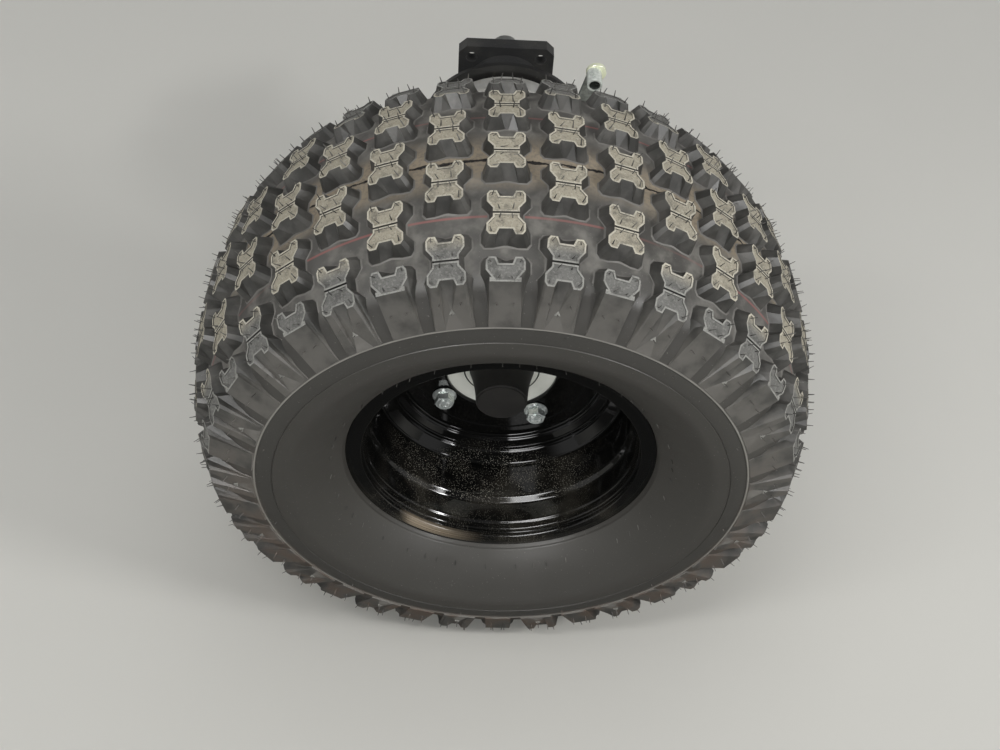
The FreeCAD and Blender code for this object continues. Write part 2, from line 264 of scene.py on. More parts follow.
def new_finish(name):
    """A new material, and the place on the piece that its patterns follow."""
    finish = bpy.data.materials.new(name)
    finish.use_nodes = True
    finish.node_tree.nodes.clear()
    place = finish.node_tree.nodes.new("ShaderNodeTexCoord")
    return finish, Wire(finish.node_tree, place.outputs["Object"])


def surface(finish, place, colour, roughness, relief=None, depth=0.0001, **plain):
    """The shader and its output. Plain values are those that are the same all over."""
    values = {"Base Color": colour, "Roughness": roughness}
    if relief is not None:
        bump = {"Height": relief, "Strength": 1.0, "Distance": depth}
        values["Normal"] = place.node("Bump", {}, bump)
    values.update({name.replace("_", " "): value for name, value in plain.items()})
    shader = place.node("BsdfPrincipled", {}, values)
    end = finish.node_tree.nodes.new("ShaderNodeOutputMaterial")
    finish.node_tree.links.new(shader.socket, end.inputs["Surface"])
    return finish


def length(x, z):
    squares = x * x + z * z
    return squares.math("SQRT")


def axle_places(place):
    """The distance out from the wheel's centre plane, the radius, and the x and z of a place."""
    x, y, z = place.parts()
    return y - WHEEL_Y, length(x, z), x, z


TAN_DUST = shade(150, 137, 117)
GREY_DUST = shade(134, 131, 124)
RUBBER = shade(66, 64, 60)
CROWN_RUBBER_SHEEN = shade(98, 96, 92)
CRACK = shade(22, 19, 16)
BROWN_STAIN = shade(86, 70, 58)
PAINT_LINE = shade(152, 98, 94)
SIDE_BAND = shade(58, 57, 54)
RING_PALE_LINE = shade(140, 137, 130)
SPECK = shade(150, 147, 140)
PAINT_LINE_OUT = 0.047
CROWN_START = (0.196, 0.208)  # radii between which the crown's looks begin
STAIN_START = (0.170, 0.176)
LOWER_HALF = (-0.10, 0.16)  # depths below the axle between which the brown stain grows


def carcass_rubber():
    """Rubber with tan dust and a crack along its middle, two thin red lines and a pale ring."""
    finish, place = new_finish("carcass_rubber")
    out, radius, _, z = axle_places(place)
    side = abs(out)
    broad, fine = place.noise(9.0), place.noise(55.0, 4.0)
    grit = place.noise(420.0, 2.0)
    crown = radius.fade(*CROWN_START)
    # The crown's rubber is painted lighter than the sidewalls', a painted sheen of the light
    # overhead.
    colour = (crown * broad.fade(0.25, 0.75)).mix(RUBBER, CROWN_RUBBER_SHEEN)
    colour = (crown * fine.fade(0.42, 0.72) * 0.7).mix(colour, GREY_DUST)
    dusty = side + (broad - 0.5) * 0.030 + (fine - 0.5) * 0.012
    dust = (1 - dusty.fade(0.010, 0.030)) * crown
    colour = (dust * (grit.fade(0.3, 0.6) * 0.35 + 0.5)).mix(colour, TAN_DUST)
    line = (side - PAINT_LINE_OUT).near(0.0004, 0.0012) * crown * broad.fade(0.30, 0.55)
    colour = (line * 0.8).mix(colour, PAINT_LINE)
    wander = (place.noise(30.0, 4.0) - 0.5) * 0.007 + (place.noise(190.0, 4.0) - 0.5) * 0.004
    width = place.noise(70.0).fade(0.3, 0.7) * 0.0008
    crack = (1 - (abs(out + wander) - width).fade(0.0002, 0.0009)) * crown
    colour = crack.mix(colour, CRACK)
    band_start = (INNER_RING_RADIUS - 0.0004, INNER_RING_RADIUS + 0.0006)
    band = radius.band(band_start, (RING_RADIUS - 0.0008, RING_RADIUS + 0.0002))
    colour = (band * 0.35).mix(colour, SIDE_BAND)
    # A pale line is painted along the ring's ridge.
    ring = (radius - RING_RADIUS - 0.0001).near(0.0003, 0.0010)
    colour = (ring * 0.8).mix(colour, RING_PALE_LINE)
    lower = (0 - z).fade(*LOWER_HALF)
    stain = radius.fade(*STAIN_START) * (1 - crown) * lower * fine.fade(0.35, 0.65)
    colour = (stain * 0.6).mix(colour, BROWN_STAIN)
    speck = place.noise(900.0, 1.0).fade(0.72, 0.80)
    colour = (speck * 0.5).mix(colour, SPECK)
    roughness = 0.34 + fine * 0.24 + crown * 0.10 + dust * 0.3
    relief = grit * 0.25 + fine * 0.5 - crack * 6.0
    return surface(finish, place, colour, roughness, relief, depth=0.00025)


carcass.data.materials.append(carcass_rubber())
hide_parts("tyre")
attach(carcass, "wheel")


# Crown lugs: drafted knobs moulded with the carcass, three in one column and two in the next, the
# columns 10 degrees apart. Each top is an X with a thin raised edge and a slot across its middle.
COLUMN_PAIRS = 18
FIRST_COLUMN = radians(-1.99)
LUG_HALF_WIDTH = 0.0122
LUG_HALF_LENGTH = 0.0168
WAIST_HALF = 0.0083
WAIST_LENGTH = 0.0034
PRONG_SIDE = 0.0084
PRONG_CORNER = 0.0026
PRONG_WIDTH = 0.0062
NOTCH_HALF = 0.0042
NOTCH_DEPTH = 0.0043
NOTCH_FOOT_DEPTH = 0.0016
NOTCH_FOOT_SHARE = 0.25
SLOT_HALF = 0.00065
SLOT_DEPTH = 0.0022
EDGE_WIDTH = 0.0012
EDGE_RAISED = 0.0006
LUG_DRAFT = 0.30
FOOT_WIDTH = 0.0022
FOOT_RAISED = 0.0004
CROWN_LUG_DEPTH = 0.0105
CROWN_ROWS = (
    # column, axial place, top radius, tilt in degrees
    (0, 0.0, 0.2268, 0.0),
    (0, 0.0515, 0.2214, 9.0),
    (1, 0.0255, 0.2257, 4.0),
)
FOOT_SUNK = 0.0003
BUTTRESS_DEEP = 0.0125  # corners this far below a lug's top lie on its buttress
CLEAR = 0.0005  # keeps a limit clear of the corners that it tells apart
ON_PLANE = 1e-5
UPRIGHT = 0.9
TOP, EDGE, WALL, FOOT = range(4)

LUG_DUST = shade(160, 153, 136)
LUG_EDGE = shade(190, 184, 167)
SHOULDER_TOP = shade(106, 105, 101)
SHOULDER_EDGE = shade(144, 143, 137)
LUG_WALL = shade(60, 59, 56)
LUG_WALL_WORN = shade(92, 90, 86)
FOOT_LINE = shade(116, 113, 108)
FOOT_LINE_WORN = shade(100, 98, 93)
BUTTRESS_DUST = shade(94, 91, 86)
CROWN_TOPS = (0.2135, 0.2185)  # radii between which tops turn from shoulder to crown colours
DUSTY_OUT = (0.094, 0.100)  # distances out from the centre plane
STAINED_OUT = (0.090, 0.104)


def lug_finish(name, crown_colour, shoulder_colour, rough):
    """A lug's top or edge: dustier towards the crown, with worn darker patches."""
    finish, place = new_finish(name)
    patch, grit = place.noise(120.0, 4.0), place.noise(600.0, 2.0)
    on_crown = axle_places(place)[1].fade(*CROWN_TOPS)
    colour = on_crown.mix(shoulder_colour, crown_colour)
    colour = (patch.fade(0.48, 0.72) * 0.5).mix(colour, LUG_WALL)
    colour = (grit.fade(0.50, 0.68) * 0.45).mix(colour, on_crown.mix(SHOULDER_EDGE, LUG_EDGE))
    colour = (place.noise(900.0, 1.0).fade(0.58, 0.68) * 0.4).mix(colour, LUG_WALL)
    return surface(finish, place, colour, rough + patch * 0.15, grit * 0.5 + patch, depth=0.0002)


def lug_side(name, low, high, rough):
    """A lug's wall or foot line: moulded rubber, a little dusty, smoother than the tops."""
    finish, place = new_finish(name)
    patch, grit = place.noise(60.0, 4.0), place.noise(500.0, 2.0)
    out, _, _, z = axle_places(place)
    colour = patch.fade(0.35, 0.75).mix(low, high)
    dusty = abs(out).fade(*DUSTY_OUT) * patch.fade(0.2, 0.6)
    colour = (dusty * 0.8).mix(colour, BUTTRESS_DUST)
    stain = abs(out).fade(*STAINED_OUT) * (0 - z).fade(*LOWER_HALF) * patch.fade(0.40, 0.60)
    colour = (stain * 0.7).mix(colour, BROWN_STAIN)
    return surface(finish, place, colour, rough + patch * 0.2, grit * 0.4 + patch, depth=0.00015)


lug_finishes = [
    lug_finish("lug_top", LUG_DUST, SHOULDER_TOP, rough=0.70),
    lug_finish("lug_edge", LUG_EDGE, SHOULDER_EDGE, rough=0.60),
    lug_side("lug_wall", LUG_WALL, LUG_WALL_WORN, rough=0.32),
    lug_side("lug_foot", FOOT_LINE, FOOT_LINE_WORN, rough=0.5),
]


def quarter_x():
    """One quarter of the X, from its waist round a prong to the notch at its end."""
    w, l = LUG_HALF_WIDTH, LUG_HALF_LENGTH
    return [
        (WAIST_HALF, WAIST_LENGTH),
        (w, PRONG_SIDE),
        (w, l - PRONG_CORNER),
        (w - 0.7 * PRONG_CORNER, l),
        (w - PRONG_WIDTH, l),
        (NOTCH_HALF, l - NOTCH_DEPTH),
    ]


def x_outline():
    """The whole X, all round."""
    one = quarter_x()
    top = one + [(-x, y) for x, y in reversed(one)]
    return top + [(-x, -y) for x, y in top]


def pick(piece, test, kind="FACE"):
    """Selects only the faces or corners that a test picks, and goes into edit mode."""
    bpy.ops.object.mode_set(mode="OBJECT")
    parts = {"VERT": piece.data.vertices, "EDGE": piece.data.edges, "FACE": piece.data.polygons}
    for group in parts.values():
        for part in group:
            part.select = False
    for part in parts[kind]:
        part.select = test(part)
    bpy.ops.object.mode_set(mode="EDIT")
    bpy.ops.mesh.select_mode(type=kind)


def skirt(piece, places):
    """Extrudes a lug's outer edge loop down and puts the new corners at their places.

    It gives the numbers of the new corners.
    """
    down = Vector((0, 0, -0.001))
    pick(piece, lambda face: True)
    bpy.ops.mesh.region_to_loop()
    bpy.ops.mesh.select_mode(type="VERT")
    bpy.ops.mesh.extrude_edges_move(TRANSFORM_OT_translate={"value": down})
    bpy.ops.object.mode_set(mode="OBJECT")
    added = [vertex for vertex in piece.data.vertices if vertex.select]
    for vertex in added:
        vertex.co = places(vertex.co - down)
    return [vertex.index for vertex in added]


def is_top(face):
    return face.center.z > -ON_PLANE and abs(face.normal.z) > UPRIGHT


def knob(name, outline, slotted, wall_place, foot_place, gap=None):
    """A lug with its top on z = 0, drafted walls, and a foot line that will lie on the carcass.

    A gap picks the corners of the wall's lower edge that one more face joins.
    """
    piece = draw(name, [(x, y, 0.0) for x, y in outline])
    bpy.ops.mesh.select_all(action="SELECT")
    bpy.ops.mesh.edge_face_add()
    bpy.ops.mesh.normals_make_consistent(inside=False)
    if slotted:
        for side in (1, -1):
            bpy.ops.mesh.select_all(action="SELECT")
            bpy.ops.mesh.bisect(plane_co=(0, side * SLOT_HALF, 0), plane_no=(0, 1, 0))
    feet = skirt(piece, wall_place)
    if gap:
        pick(piece, lambda vertex: vertex.index in feet and gap(vertex.co), "VERT")
        bpy.ops.mesh.edge_face_add()
    feet_out = skirt(piece, foot_place)
    if slotted:
        pick(piece, lambda face: is_top(face) and abs(face.center.y) < SLOT_HALF)
        bpy.ops.mesh.extrude_region_move(TRANSFORM_OT_translate={"value": (0, 0, -SLOT_DEPTH)})
    pick(piece, lambda face: is_top(face) and (not slotted or abs(face.center.y) > SLOT_HALF))
    bpy.ops.mesh.inset(thickness=EDGE_WIDTH, depth=0, use_individual=True)
    bpy.ops.mesh.extrude_region_move(TRANSFORM_OT_translate={"value": (0, 0, -EDGE_RAISED)})
    bpy.ops.object.mode_set(mode="OBJECT")
    for face in piece.data.polygons:
        face.material_index = WALL
        if abs(face.normal.z) > UPRIGHT and abs(face.center.z + EDGE_RAISED) < ON_PLANE:
            face.material_index = TOP
        elif is_top(face):
            face.material_index = EDGE
        elif all(v in feet + feet_out for v in face.vertices):
            face.material_index = FOOT
    for finish in lug_finishes:
        piece.data.materials.append(finish)
    for label, members in (("foot_in", feet), ("foot_out", feet_out)):
        seated = [v for v in members if piece.data.vertices[v].co.z > -BUTTRESS_DEEP]
        piece.vertex_groups.new(name=label).add(seated, 1.0, "REPLACE")
    return piece


def drafted(depth, half_length=LUG_HALF_LENGTH):
    """Where the wall's lower corners lie: spread by the draft, with the notches almost closed."""
    spread = LUG_DRAFT * depth

    def place(corner):
        across = Vector((corner.x / LUG_HALF_WIDTH, corner.y / LUG_HALF_LENGTH, 0))
        if abs(corner.x) < NOTCH_HALF + CLEAR:
            end = half_length * (1 + spread / LUG_HALF_LENGTH) - NOTCH_FOOT_DEPTH
            return Vector((corner.x * NOTCH_FOOT_SHARE, copysign(end, corner.y), -depth))
        return Vector((corner.x + across.x * spread, corner.y + across.y * spread, -depth))

    return place


def widened(corner):
    """Where a corner of the foot line's outer edge lies."""
    across = Vector((corner.x / LUG_HALF_WIDTH, corner.y / LUG_HALF_LENGTH, 0))
    return corner + across.normalized() * FOOT_WIDTH


def from_middle(side):
    """From the wheel's middle to the part's frame, mirrored for the inboard side."""
    return Matrix.Translation(WHEEL_MIDDLE) @ Matrix.Scale(side, 4, (0, 1, 0))


def row_place(row):
    """From a row's lug to the wheel's middle, before the turn to its column."""
    place, radius, tilt = row[1:4]
    return Matrix.Translation((0, place, radius)) @ Matrix.Rotation(-radians(tilt), 4, "X")


def copy_to(piece, place):
    """A copy of a piece whose mesh is moved to its place, with its faces outward."""
    copy = bpy.data.objects.new(piece.name, piece.data.copy())
    for group in piece.vertex_groups:
        copy.vertex_groups.new(name=group.name)
    copy.data.transform(place)
    if place.determinant() < 0:
        copy.data.flip_normals()
    bpy.context.collection.objects.link(copy)
    return copy


def repeated(piece, column, place, sides=(1, -1)):
    """Copies of a piece, placed from the wheel's middle, at every second column."""
    copies = []
    for pair in range(COLUMN_PAIRS):
        around = Matrix.Rotation(FIRST_COLUMN + (2 * pair + column) * pi / COLUMN_PAIRS, 4, "Y")
        copies += [copy_to(piece, around @ from_middle(side) @ place) for side in sides]
    return copies


def on_row(piece, row):
    """Copies of a piece on every lug of a row, at both sides unless the row is in the middle."""
    return repeated(piece, row[0], row_place(row), (1, -1) if row[1] else (1,))


def joined(name, copies):
    """Joins copies to one piece."""
    select(*copies)
    bpy.ops.object.join()
    piece = bpy.context.object
    piece.name = piece.data.name = name
    return piece


def seat_on_carcass(piece):
    """Lays the foot lines of the lugs on the carcass, the outer edge just under its skin."""
    for group, offset in (("foot_in", FOOT_RAISED), ("foot_out", -FOOT_SUNK)):
        wrap = piece.modifiers.new("seat", "SHRINKWRAP")
        wrap.target = carcass
        wrap.vertex_group = group
        wrap.wrap_method = "NEAREST_SURFACEPOINT"
        wrap.wrap_mode = "ABOVE_SURFACE"
        wrap.offset = offset
        bpy.ops.object.modifier_apply(modifier="seat")


x_knob = knob("x_knob", x_outline(), True, drafted(CROWN_LUG_DEPTH), widened)
crown_lugs = joined("crown_lugs", [lug for row in CROWN_ROWS for lug in on_row(x_knob, row)])
seat_on_carcass(crown_lugs)
bpy.data.objects.remove(x_knob)
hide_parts("tyre")
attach(crown_lugs, "wheel")


# Shoulder lugs: at both sides every column ends in a lug whose outer wall runs down the sidewall
# as a buttress. One kind is a whole X with a channel down its buttress, the other is the inner half
# of an X.
SHOULDER_ROWS = (
    # column, axial place, top radius, tilt in degrees, half the buttress's width
    (1, 0.0822, 0.2121, 22.0, 0.0125),
    (0, 0.0890, 0.2097, 26.0, 0.0100),
)
SHOULDER_DEPTH = 0.0100
BUTTRESS_END = 0.1755
BUTTRESS_OUT = 0.1060
BUTTRESS_SUNK = 0.0012
HALF_LUG_LENGTH = 0.0080
HALF_LUG_SIDE = 0.0030
HALF_LUG_WIDER = 0.0014
CHANNEL_SHARE = 0.55
CHANNEL_WIDTH_SHARE = 0.1
CHANNEL_BEYOND = 0.004  # its corners lie further than this beyond the edge of the top
MARK_RADIUS = 0.0024
MARK_THICK = 0.0012
MARK_SHARE = 0.60


def half_x_outline():
    """The inner half of the X, cut off straight on its outer side."""
    edge = WAIST_HALF + HALF_LUG_WIDER
    inner = [(-x, LUG_HALF_LENGTH - HALF_LUG_LENGTH - y) for x, y in quarter_x()]
    left = [(-edge, HALF_LUG_LENGTH), (-edge, HALF_LUG_LENGTH - HALF_LUG_SIDE)] + inner
    return left + [(-x, y) for x, y in reversed(left)]


def shoulder_knob(row, outline, slotted):
    """A lug whose outer corners end far down the sidewall. The channel's corners meet above."""
    half = row[4]
    into_lug = row_place(row).inverted()
    outer = max(y for x, y in outline)
    prongs = outer - 1.1 * PRONG_CORNER
    widest = max(x for x, y in outline if y > prongs)
    down = drafted(SHOULDER_DEPTH, LUG_HALF_LENGTH if slotted else HALF_LUG_LENGTH)

    def sidewall(x, deeper=0.0):
        return into_lug @ Vector((x, BUTTRESS_OUT - deeper, BUTTRESS_END - deeper))

    def wall_place(corner):
        if corner.y > prongs and abs(corner.x) > NOTCH_HALF + CLEAR:
            return sidewall(corner.x / widest * half)
        if slotted and corner.y > PRONG_SIDE + CLEAR:
            middle = Vector((0, outer, 0)).lerp(sidewall(0.0), CHANNEL_SHARE)
            return middle + Vector((corner.x * CHANNEL_WIDTH_SHARE, 0, 0))
        return down(corner)

    def foot_place(corner):
        if corner.z > -BUTTRESS_DEEP:
            return widened(corner)
        return corner + (sidewall(0.0, BUTTRESS_SUNK) - sidewall(0.0))

    def gap(corner):
        return corner.y > outer + CHANNEL_BEYOND and abs(corner.x) < 0.6 * half

    return knob("shoulder_knob", outline, slotted, wall_place, foot_place, gap if slotted else None)


def wear_mark(row):
    """A small raised triangle at the channel's end, pointing up, given from the wheel's middle."""
    edge = row_place(row) @ Vector((0, LUG_HALF_LENGTH, 0))
    end = Vector((0, BUTTRESS_OUT, BUTTRESS_END))
    up = (edge - end).normalized()
    across = Vector((1, 0, 0))
    size = {"radius1": MARK_RADIUS, "radius2": MARK_RADIUS * 0.8, "depth": MARK_THICK}
    bpy.ops.object.select_all(action="DESELECT")
    bpy.ops.mesh.primitive_cone_add(vertices=3, **size)
    piece = bpy.context.object
    turned = Matrix((across, up, across.cross(up))).transposed().to_4x4()
    piece.data.transform(Matrix.Translation(edge.lerp(end, MARK_SHARE)) @ turned)
    for face in piece.data.polygons:
        face.material_index = EDGE
    for finish in lug_finishes:
        piece.data.materials.append(finish)
    return piece


mark = wear_mark(SHOULDER_ROWS[0])
lugs = repeated(mark, SHOULDER_ROWS[0][0], Matrix.Identity(4))
bpy.data.objects.remove(mark)
for row, outline, slotted in zip(SHOULDER_ROWS, (x_outline(), half_x_outline()), (True, False)):
    one = shoulder_knob(row, outline, slotted)
    lugs += on_row(one, row)
    bpy.data.objects.remove(one)
shoulder_lugs = joined("shoulder_lugs", lugs)
seat_on_carcass(shoulder_lugs)
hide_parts("tyre")
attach(shoulder_lugs, "wheel")


# Vent whiskers: thin rubber hairs left by the mould's vents, on every lug's top, on the buttresses
# and in rings round the sidewalls.
WHISKER_FOOT = 0.000504
WHISKER_END = 0.000252
WHISKER_SUNK = 0.0002
TOP_WHISKER = 0.0054
SIDE_WHISKER = 0.0052
BUTTRESS_LEAN = -62
SIDEWALL_LEAN = -80
UNEVEN = 3  # degrees by which the hairs of a ring stray
HAIR_DARK = shade(48, 47, 45)
HAIR_PALE = shade(118, 116, 110)
TOP_SPOTS = (
    # across the lug, along it, lean in degrees
    (0.0090, 0.0138, 14.0),
    (-0.0090, 0.0138, -10.0),
    (0.0042, 0.0036, -8.0),
    (-0.0042, 0.0036, 12.0),
)
BUTTRESS_SPOTS = (
    # which shoulder row, across the buttress, share of the way down it
    (0, 0.0068, 0.40),
    (0, -0.0068, 0.40),
    (0, 0.0, 0.62),
    (1, 0.0052, 0.48),
    (1, -0.0052, 0.48),
)
SIDEWALL_RINGS = (
    # radius, place out from the centre plane, count, first angle in degrees
    (0.1215, 0.0882, 44, 3.0),
    (0.1690, 0.1058, 12, 11.0),
)


def whisker(name, length):
    """A thin hair that stands up from z = 0."""
    size = {"radius1": WHISKER_FOOT, "radius2": WHISKER_END, "depth": length}
    bpy.ops.object.select_all(action="DESELECT")
    bpy.ops.mesh.primitive_cone_add(vertices=4, location=(0, 0, length / 2), **size)
    piece = bpy.context.object
    piece.name = piece.data.name = name
    bpy.ops.object.transform_apply(location=True, rotation=True, scale=True)
    return piece


def leaning(x, y, z, degrees):
    """Where a hair stands on a lug, leaning to its side and half as much along it."""
    lean = Matrix.Rotation(radians(degrees), 4, "Y") @ Matrix.Rotation(radians(degrees / 2), 4, "X")
    return Matrix.Translation((x, y, z)) @ lean


def hair_tuft(name, spots):
    """The hairs of one lug's top."""
    one = whisker("hair", TOP_WHISKER)
    z = -EDGE_RAISED - WHISKER_SUNK
    copies = [copy_to(one, leaning(x, y, z, lean)) for x, y, lean in spots]
    bpy.data.objects.remove(one)
    return joined(name, copies)


both_ends = [(x, side * y, side * lean) for x, y, lean in TOP_SPOTS for side in (1, -1)]
whole_tuft = hair_tuft("whole_tuft", both_ends)
half_shift = LUG_HALF_LENGTH - HALF_LUG_LENGTH
half_tuft = hair_tuft("half_tuft", [(x, half_shift - y, lean) for x, y, lean in TOP_SPOTS])
hairs = []
for row, tuft in zip((*CROWN_ROWS, *SHOULDER_ROWS), [whole_tuft] * 4 + [half_tuft]):
    hairs += on_row(tuft, row)
side_hair = whisker("side_hair", SIDE_WHISKER)
lie_outward = Matrix.Rotation(radians(BUTTRESS_LEAN), 4, "X")
for number, across, share in BUTTRESS_SPOTS:
    row = SHOULDER_ROWS[number]
    edge = row_place(row) @ Vector((across, (LUG_HALF_LENGTH, HALF_LUG_LENGTH)[number], 0))
    spot = edge.lerp(Vector((across, BUTTRESS_OUT, BUTTRESS_END)), share)
    hairs += repeated(side_hair, row[0], Matrix.Translation(spot) @ lie_outward)
for radius, out, count, first in SIDEWALL_RINGS:
    stand = Matrix.Translation((0, out, radius)) @ Matrix.Rotation(radians(SIDEWALL_LEAN), 4, "X")
    for i in range(count):
        around = Matrix.Rotation(radians(first + 360 * i / count + UNEVEN * sin(5 * i)), 4, "Y")
        hairs += [copy_to(side_hair, around @ from_middle(side) @ stand) for side in (1, -1)]
whiskers = joined("vent_whiskers", hairs)
for piece in (whole_tuft, half_tuft, side_hair):
    bpy.data.objects.remove(piece)

# The hairs' tips are bent back where they would pass the part's box.
reach = (cad_high[0], tyre_high[1] - WHEEL_Y, cad_high[2])
for vertex in whiskers.data.vertices:
    place = vertex.co - WHEEL_MIDDLE
    kept = Vector(max(-far, min(far, part)) for part, far in zip(place, reach))
    bent = (place - kept).length
    past_x, past_z = abs(place.x) > reach[0], abs(place.z) > reach[2]
    vertex.co = WHEEL_MIDDLE + kept + Vector((bent if past_z else 0, 0, bent if past_x else 0))
whiskers.data.materials.append(lug_side("whisker_rubber", HAIR_DARK, HAIR_PALE, rough=0.5))
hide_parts("tyre")
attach(whiskers, "wheel")


# Rim: a rolled steel barrel, stepped up to the bead seats, with a lip rolled back at each side. It
# is painted gloss black. Grains of dust lie on its lower inside and a smear on its lower lip.
half_rim = section(
    (0.0420, 0.0950),
    ((0.0446, 0.0957), 0.0003, 4),
    (0.0468, 0.0974),
    ((0.0490, 0.0983), -0.0002, 3),
    (0.0630, 0.0979),
    ((0.0660, 0.0990), 0.0004, 5),
    ((0.0700, 0.0994), -0.0001, 2),
    ((0.0716, 0.1006), 0.0003, 4),
    (0.0719, 0.1016),
    ((0.0732, 0.1020), -0.0007, 4),
    ((0.0755, 0.1004), 0.0007, 5),
    ((0.0780, 0.1030), 0.0010, 6),
    ((0.0771, 0.1108), 0.0005, 6),
    ((0.0758, 0.1124), 0.0005, 5),
    (0.0742, 0.1112),
    ((0.0730, 0.1050), -0.0003, 4),
    ((0.0700, 0.1015), -0.0006, 4),
    (0.0520, 0.1015),
    (0.0470, 0.0994),
    (0.0445, 0.0975),
    (0.0420, 0.0970),
)
rim = turn("wheel_rim", half_rim + [(-y, r) for y, r in reversed(half_rim)])
smooth(rim, 40)

GLOSS_BLACK = shade(13, 13, 12)
RIM_DUST = shade(112, 106, 94)
GRAIN = shade(182, 177, 163)
SMEAR = shade(172, 156, 134)
GRAIN_SCALE = 900.0
SHELTERED_RIGHT = (0.030, 0.085)  # places along x, and distances out, between which grains thin out
SHELTERED_OUT = (0.044, 0.050)
LIP_OUT = (0.0735, 0.0755)
LIP_RADII = ((0.0990, 0.1010), (0.1085, 0.1100))
SMEAR_PLACE = ((-0.074, -0.062), (-0.062, -0.004))  # along x


def gloss_paint(name, dust_low, dust_high, gloss):
    """Black stove enamel with faint waves; grains of dust lie where the inside looks up."""
    finish, place = new_finish(name)
    out, radius, x, z = axle_places(place)
    cloud = place.noise(32.0, 4.0)
    dots = place.node("TexVoronoi", {}, {"Vector": place, "Scale": GRAIN_SCALE, "Randomness": 1.0})
    settled = (0 - z).fade(dust_low, dust_high)
    sheltered = (1 - x.fade(*SHELTERED_RIGHT) * 0.85) * (1 - abs(out).fade(*SHELTERED_OUT) * 0.75)
    cloudy = place.noise(90.0, 2.0).fade(0.30, 0.55)
    grain = (1 - dots.fade(0.12, 0.33)) * cloudy * settled * sheltered
    film = settled * cloud.fade(0.40, 0.70)
    lip = radius.band(*LIP_RADII) * abs(out).fade(*LIP_OUT) * settled
    along = (x + out + z + WHEEL_Y) * 4.0
    streaks = (radius * 900.0 + along).noise(1.0, 2.0).fade(0.35, 0.65)
    smear = lip * x.band(*SMEAR_PLACE) * (streaks * 0.5 + 0.5)
    colour = (film * 0.14).mix(GLOSS_BLACK, RIM_DUST)
    colour = (grain * (cloud.fade(0.30, 0.60) * 0.45 + 0.50)).mix(colour, GRAIN)
    colour = (smear * 0.8).mix(colour, SMEAR)
    roughness = 0.05 + film * 0.10 + grain * 0.3 + smear * 0.3
    waves = place.noise(14.0)
    return surface(finish, place, colour, roughness, waves, depth=0.0003, Specular_IOR_Level=gloss)


rim.data.materials.append(gloss_paint("rim_paint", dust_low=0.030, dust_high=0.075, gloss=0.5))
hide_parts("rim_barrel")
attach(rim, "wheel")


# Wheel disc: pressed steel, dished in two steps and welded inside the barrel. Its flat has a
# shallow pressed ring round the centre hole.
dish = turn(
    "wheel_dish",
    section(
        (-0.0138, 0.0948),
        ((-0.0130, 0.0916), 0.0009, 6),
        (-0.0078, 0.0850),
        ((-0.0062, 0.0838), -0.0002, 3),
        (-0.0050, 0.0834),
        ((-0.0036, 0.0822), 0.0004, 5),
        (-0.0012, 0.0782),
        ((0.0002, 0.0769), -0.0002, 3),
        (0.0012, 0.0765),
        ((0.0030, 0.0746), 0.0004, 6),
        (0.0030, 0.0664),
        ((0.0035, 0.0650), 0.0001, 3),
        (0.0035, 0.0432),
        ((0.0046, 0.0417), 0.0004, 4),
        (0.0062, 0.0417),
        (0.0062, 0.0764),
        ((0.0040, 0.0800), -0.0003, 4),
        (-0.0010, 0.0858),
        (-0.0088, 0.0948),
    ),
)
smooth(dish, 40)
disc_paint = gloss_paint("disc_paint", dust_low=0.074, dust_high=0.092, gloss=0.45)
dish.data.materials.append(disc_paint)
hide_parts("wheel_disc")
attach(dish, "wheel")


# Hub: a forged steel hub on the axle, turned on its face, which shows in the disc's hole with a
# thin groove round the cap.
GROOVE_RADIUS = 0.0283
GROOVE_HALF = 0.0006
GROOVE_SHADE = shade(40, 40, 36)


def dress(node, finish):
    """Gives a CAD piece its finish."""
    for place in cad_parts[node].material_slots:
        place.material = finish


def turned_metal(name, bright, dull, rough, metallic, ring_scale=9000.0, grooved=False):
    """Metal with the rings of a lathe tool and duller patches, and if grooved the hub's groove in
    painted shade.
    """
    finish, place = new_finish(name)
    radius = axle_places(place)[1]
    patch, grit = place.noise(60.0, 4.0), place.noise(700.0, 2.0)
    colour = patch.fade(0.35, 0.75).mix(bright, dull)
    relief = (radius * ring_scale).math("SINE") * 0.15 + grit * 0.5 + patch
    if grooved:
        # The groove is bumped in and darkened with painted shade.
        shaded_groove = (radius - GROOVE_RADIUS).near(GROOVE_HALF * 0.6, GROOVE_HALF)
        colour = shaded_groove.mix(colour, GROOVE_SHADE)
        relief = relief - shaded_groove * 20.0
    roughness = rough + patch * 0.15 + grit * 0.08
    return surface(finish, place, colour, roughness, relief, depth=0.00005, Metallic=metallic)


hub_colours = (shade(240, 240, 230), shade(222, 222, 212))
hub_looks = {"rough": 0.40, "metallic": 0.10, "ring_scale": 7000.0}
dress("wheel_hub", turned_metal("hub_steel", *hub_colours, **hub_looks, grooved=True))


# Wheel studs and flange nuts: four M10 nuts with a washer flange, bright zinc plated, each with the
# chamfered end of its stud standing out.
STUD_PLACES = ((0.0285, -0.0427), (0.0427, 0.0285), (-0.0285, 0.0427), (-0.0427, -0.0285))
NUT_CORNER = 0.0075
NUT_BASE = 0.0030
NUT_TOP = -0.0060
NUT_END_RADIUS = 0.0061
NUT_TURNS = (10, 35, -8, 22)  # degrees, as the spanner left them
STUD_TIP = -0.0073


def lathe(name, outline, steps=48):
    """Spins an open outline, from axis to axis, about the line of the axle."""
    piece = turn(name, outline, steps, closed=False)
    smooth(piece, 40)
    return piece


